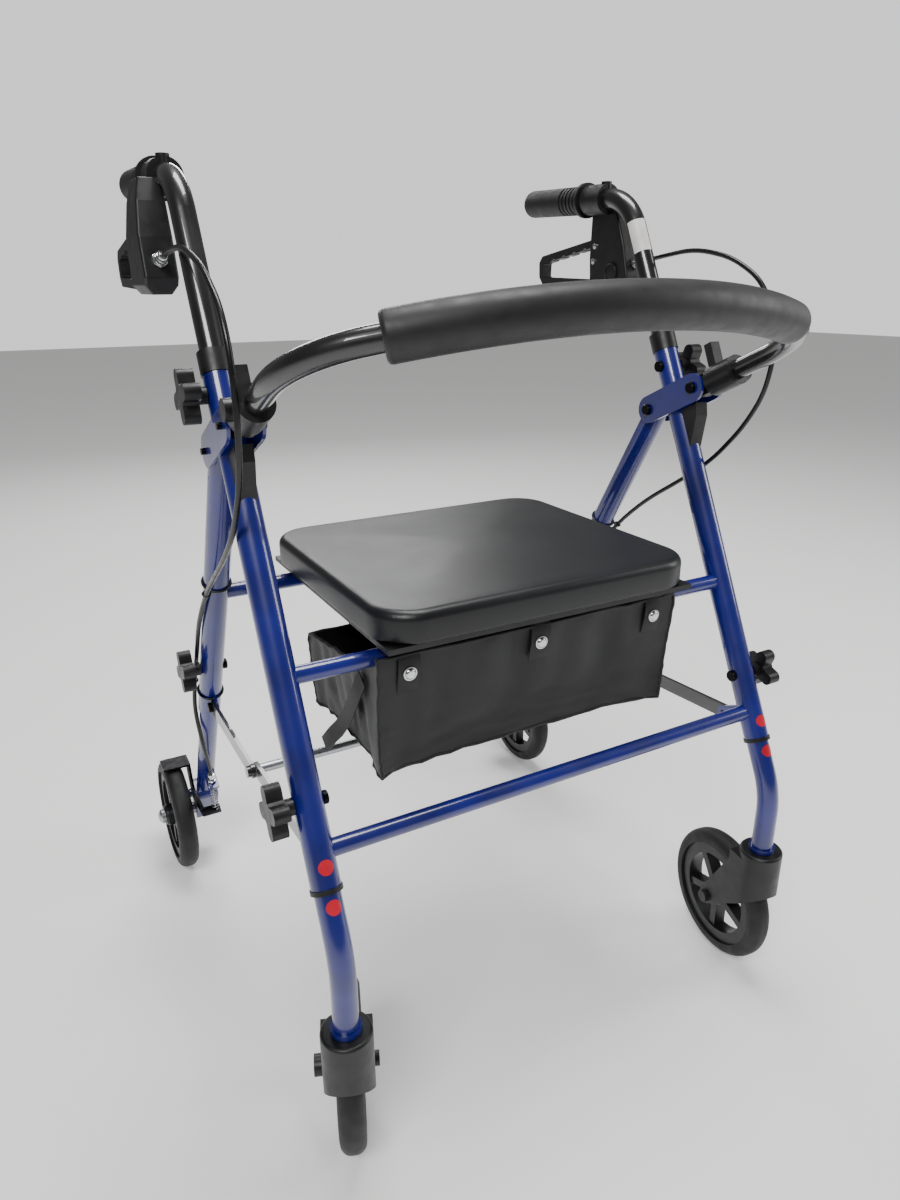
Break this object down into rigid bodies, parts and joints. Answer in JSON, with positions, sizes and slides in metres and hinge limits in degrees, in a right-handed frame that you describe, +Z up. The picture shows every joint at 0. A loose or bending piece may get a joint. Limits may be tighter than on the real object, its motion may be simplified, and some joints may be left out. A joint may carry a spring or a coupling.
{
  "type": "rollator walker",
  "caption": "Folding wheeled walking frame with padded flip-up seat, curved backrest, storage bag, hand brakes, swivel front wheels and height-adjustable legs.",
  "frame": {"origin": "on the floor under the middle of the bounding box", "axes": "+Z up; the user stands on the +Y side and walks towards -Y; +X is the user's left"},
  "size_m": [0.6264, 0.6729, 0.8825],
  "materials": {
    "frame_paint": "glossy blue powder coat",
    "black_paint": "glossy black powder coat",
    "black_steel": "black bolts",
    "zinc_steel": "zinc plated",
    "black_plastic": "moulded, fine grain",
    "wheel_plastic": "moulded, fine grain",
    "tyre": "matt",
    "grip_rubber": "matt, ribbed",
    "cable_jacket": "black sheath",
    "bag_fabric": "woven",
    "seat_vinyl": "black vinyl",
    "foam_sleeve": "soft foam skin",
    "button_plastic": "moulded"
  },
  "bodies": {
    "front_frame": {"front_leg_tube_left": "frame_paint", "front_leg_tube_right": "frame_paint", "front_crossbars": "frame_paint", "leg_pivot_plates": "frame_paint", "front_frame_bolts": "black_steel", "tube_end_sleeves": "black_plastic", "storage_bag": "bag_fabric", "brake_cable_left": "cable_jacket", "brake_cable_right": "cable_jacket"},
    "rear_frame": {"rear_leg_tube_left": "frame_paint", "rear_leg_tube_right": "frame_paint", "seat_rear_crossbar": "frame_paint", "rear_frame_bolts": "black_steel"},
    "front_brace": {"front_brace_links": "black_paint", "brace_cross_rod": "zinc_steel"},
    "rear_brace_left": {"rear_brace_link_left": "black_paint"},
    "rear_brace_right": {"rear_brace_link_right": "black_paint"},
    "seat": {"seat_cushion": "seat_vinyl", "seat_base": "black_plastic"},
    "backrest": {"backrest_tube": "black_paint", "backrest_pad": "foam_sleeve", "backrest_brackets": "black_plastic"},
    "backrest_button_left": {"backrest_button_left": "button_plastic"},
    "handle_left": {"handle_tube_left": "black_paint", "grip_left": "grip_rubber", "brake_housing_left": "black_plastic"},
    "brake_lever_left": {"brake_lever_left": "black_plastic"},
    "handle_knob_left": {"handle_knob_left": "black_plastic"},
    "front_leg_knob_left": {"front_leg_knob_left": "black_plastic"},
    "rear_leg_knob_left": {"rear_leg_knob_left": "black_plastic"},
    "front_lower_leg_left": {"front_lower_tube_left": "frame_paint"},
    "caster_left": {"caster_fork_left": "black_plastic", "caster_axle_left": "black_plastic"},
    "front_wheel_left": {"front_wheel_rim_left": "wheel_plastic", "front_tyre_left": "tyre"},
    "rear_lower_leg_left": {"rear_lower_tube_left": "frame_paint", "rear_axle_bracket_left": "frame_paint", "rear_axle_left": "zinc_steel"},
    "brake_arm_left": {"brake_arm_left": "black_steel"},
    "rear_wheel_left": {"rear_wheel_rim_left": "wheel_plastic", "rear_tyre_left": "tyre"},
    "backrest_button_right": {"backrest_button_right": "button_plastic"},
    "handle_right": {"handle_tube_right": "black_paint", "grip_right": "grip_rubber", "brake_housing_right": "black_plastic"},
    "brake_lever_right": {"brake_lever_right": "black_plastic"},
    "handle_knob_right": {"handle_knob_right": "black_plastic"},
    "front_leg_knob_right": {"front_leg_knob_right": "black_plastic"},
    "rear_leg_knob_right": {"rear_leg_knob_right": "black_plastic"},
    "front_lower_leg_right": {"front_lower_tube_right": "frame_paint"},
    "caster_right": {"caster_fork_right": "black_plastic", "caster_axle_right": "black_plastic"},
    "front_wheel_right": {"front_wheel_rim_right": "wheel_plastic", "front_tyre_right": "tyre"},
    "rear_lower_leg_right": {"rear_lower_tube_right": "frame_paint", "rear_axle_bracket_right": "frame_paint", "rear_axle_right": "zinc_steel"},
    "brake_arm_right": {"brake_arm_right": "black_steel"},
    "rear_wheel_right": {"rear_wheel_rim_right": "wheel_plastic", "rear_tyre_right": "tyre"}
  },
  "joints": [
    {"name": "fold", "type": "hinge", "parent": "front_frame", "child": "rear_frame", "pos_m": [0, -0.06202, 0.63461], "axis": [-1, 0, 0], "range_deg": [0, 30], "deforming": ["brake_cable_left", "brake_cable_right"]},
    {"name": "front_brace_turn", "type": "hinge", "parent": "front_frame", "child": "front_brace", "pos_m": [0, -0.21428, 0.31546], "axis": [-1, 0, 0], "range_deg": [0, 80.7]},
    {"name": "rear_brace_turn_left", "type": "hinge", "parent": "rear_frame", "child": "rear_brace_left", "pos_m": [0.2525, 0.10149, 0.30639], "axis": [1, 0, 0], "range_deg": [0, 74.3]},
    {"name": "rear_brace_turn_right", "type": "hinge", "parent": "rear_frame", "child": "rear_brace_right", "pos_m": [-0.2525, 0.10149, 0.30639], "axis": [1, 0, 0], "range_deg": [0, 74.3]},
    {"name": "seat_lift", "type": "hinge", "parent": "front_frame", "child": "seat", "pos_m": [0, -0.18093, 0.46221], "axis": [1, 0, 0], "range_deg": [0, 92]},
    {"name": "backrest_flip", "type": "hinge", "parent": "front_frame", "child": "backrest", "pos_m": [0, -0.12732, 0.66519], "axis": [-1, 0, 0], "range_deg": [0, 60]},
    {"name": "backrest_button_press_left", "type": "slide", "parent": "backrest", "child": "backrest_button_left", "axis": [-1, 0, 0], "range_m": [0, 0.003], "stiffness_N_per_m": 400, "springref_m": -0.001},
    {"name": "handle_height_left", "type": "slide", "parent": "front_frame", "child": "handle_left", "axis": [0, 0.4362, 0.8999], "range_m": [-0.015, 0.1], "deforming": ["brake_cable_left"]},
    {"name": "brake_squeeze_left", "type": "hinge", "parent": "handle_left", "child": "brake_lever_left", "pos_m": [0.27, 0.06689, 0.812], "axis": [1, 0, 0], "range_deg": [-22, 14], "stiffness_Nm_per_rad": 4},
    {"name": "handle_knob_turn_left", "type": "hinge", "parent": "front_frame", "child": "handle_knob_left", "pos_m": [0.275, -0.07389, 0.68303], "axis": [1, 0, 0], "continuous": true},
    {"name": "front_leg_knob_turn_left", "type": "hinge", "parent": "front_frame", "child": "front_leg_knob_left", "pos_m": [0.275, -0.22655, 0.36808], "axis": [1, 0, 0], "continuous": true},
    {"name": "rear_leg_knob_turn_left", "type": "hinge", "parent": "rear_frame", "child": "rear_leg_knob_left", "pos_m": [0.275, 0.09598, 0.36094], "axis": [1, 0, 0], "continuous": true},
    {"name": "front_leg_height_left", "type": "slide", "parent": "front_frame", "child": "front_lower_leg_left", "axis": [0, -0.4362, -0.8999], "range_m": [0, 0.1]},
    {"name": "caster_swivel_left", "type": "hinge", "parent": "front_lower_leg_left", "child": "caster_left", "pos_m": [0.25, -0.285, 0.15], "axis": [0, 0, 1], "continuous": true},
    {"name": "front_wheel_roll_left", "type": "hinge", "parent": "caster_left", "child": "front_wheel_left", "pos_m": [0.25686, -0.23144, 0.076], "axis": [0.9919, -0.1271, 0], "continuous": true},
    {"name": "rear_leg_height_left", "type": "slide", "parent": "rear_frame", "child": "rear_lower_leg_left", "axis": [0, 0.5, -0.866], "range_m": [0, 0.1], "deforming": ["brake_cable_left"]},
    {"name": "brake_arm_turn_left", "type": "hinge", "parent": "rear_lower_leg_left", "child": "brake_arm_left", "pos_m": [0.266, 0.23799, 0.11497], "axis": [1, 0, 0], "range_deg": [-5.7, 8.9]},
    {"name": "rear_wheel_roll_left", "type": "hinge", "parent": "rear_lower_leg_left", "child": "rear_wheel_left", "pos_m": [0.2865, 0.26049, 0.076], "axis": [1, 0, 0], "continuous": true},
    {"name": "backrest_button_press_right", "type": "slide", "parent": "backrest", "child": "backrest_button_right", "axis": [1, 0, 0], "range_m": [0, 0.003], "stiffness_N_per_m": 400, "springref_m": -0.001},
    {"name": "handle_height_right", "type": "slide", "parent": "front_frame", "child": "handle_right", "axis": [0, 0.4362, 0.8999], "range_m": [-0.015, 0.1], "deforming": ["brake_cable_right"]},
    {"name": "brake_squeeze_right", "type": "hinge", "parent": "handle_right", "child": "brake_lever_right", "pos_m": [-0.27, 0.06689, 0.812], "axis": [1, 0, 0], "range_deg": [-22, 14], "stiffness_Nm_per_rad": 4},
    {"name": "handle_knob_turn_right", "type": "hinge", "parent": "front_frame", "child": "handle_knob_right", "pos_m": [-0.275, -0.07389, 0.68303], "axis": [-1, 0, 0], "continuous": true},
    {"name": "front_leg_knob_turn_right", "type": "hinge", "parent": "front_frame", "child": "front_leg_knob_right", "pos_m": [-0.275, -0.22655, 0.36808], "axis": [-1, 0, 0], "continuous": true},
    {"name": "rear_leg_knob_turn_right", "type": "hinge", "parent": "rear_frame", "child": "rear_leg_knob_right", "pos_m": [-0.275, 0.09598, 0.36094], "axis": [-1, 0, 0], "continuous": true},
    {"name": "front_leg_height_right", "type": "slide", "parent": "front_frame", "child": "front_lower_leg_right", "axis": [0, -0.4362, -0.8999], "range_m": [0, 0.1]},
    {"name": "caster_swivel_right", "type": "hinge", "parent": "front_lower_leg_right", "child": "caster_right", "pos_m": [-0.25, -0.285, 0.15], "axis": [0, 0, 1], "continuous": true},
    {"name": "front_wheel_roll_right", "type": "hinge", "parent": "caster_right", "child": "front_wheel_right", "pos_m": [-0.23056, -0.23462, 0.076], "axis": [0.933, -0.36, 0], "continuous": true},
    {"name": "rear_leg_height_right", "type": "slide", "parent": "rear_frame", "child": "rear_lower_leg_right", "axis": [0, 0.5, -0.866], "range_m": [0, 0.1], "deforming": ["brake_cable_right"]},
    {"name": "brake_arm_turn_right", "type": "hinge", "parent": "rear_lower_leg_right", "child": "brake_arm_right", "pos_m": [-0.266, 0.23799, 0.11497], "axis": [1, 0, 0], "range_deg": [-5.7, 8.9]},
    {"name": "rear_wheel_roll_right", "type": "hinge", "parent": "rear_lower_leg_right", "child": "rear_wheel_right", "pos_m": [-0.2865, 0.26049, 0.076], "axis": [1, 0, 0], "continuous": true}
  ],
  "couplings": [
    {"joint": "front_brace_turn", "follows": "fold", "ratio": 2.6839},
    {"joint": "rear_brace_turn_left", "follows": "fold", "ratio": 2.47},
    {"joint": "rear_brace_turn_right", "follows": "fold", "ratio": 2.47},
    {"joint": "brake_arm_turn_left", "follows": "brake_squeeze_left", "ratio": -0.4},
    {"joint": "brake_arm_turn_right", "follows": "brake_squeeze_right", "ratio": -0.4}
  ]
}
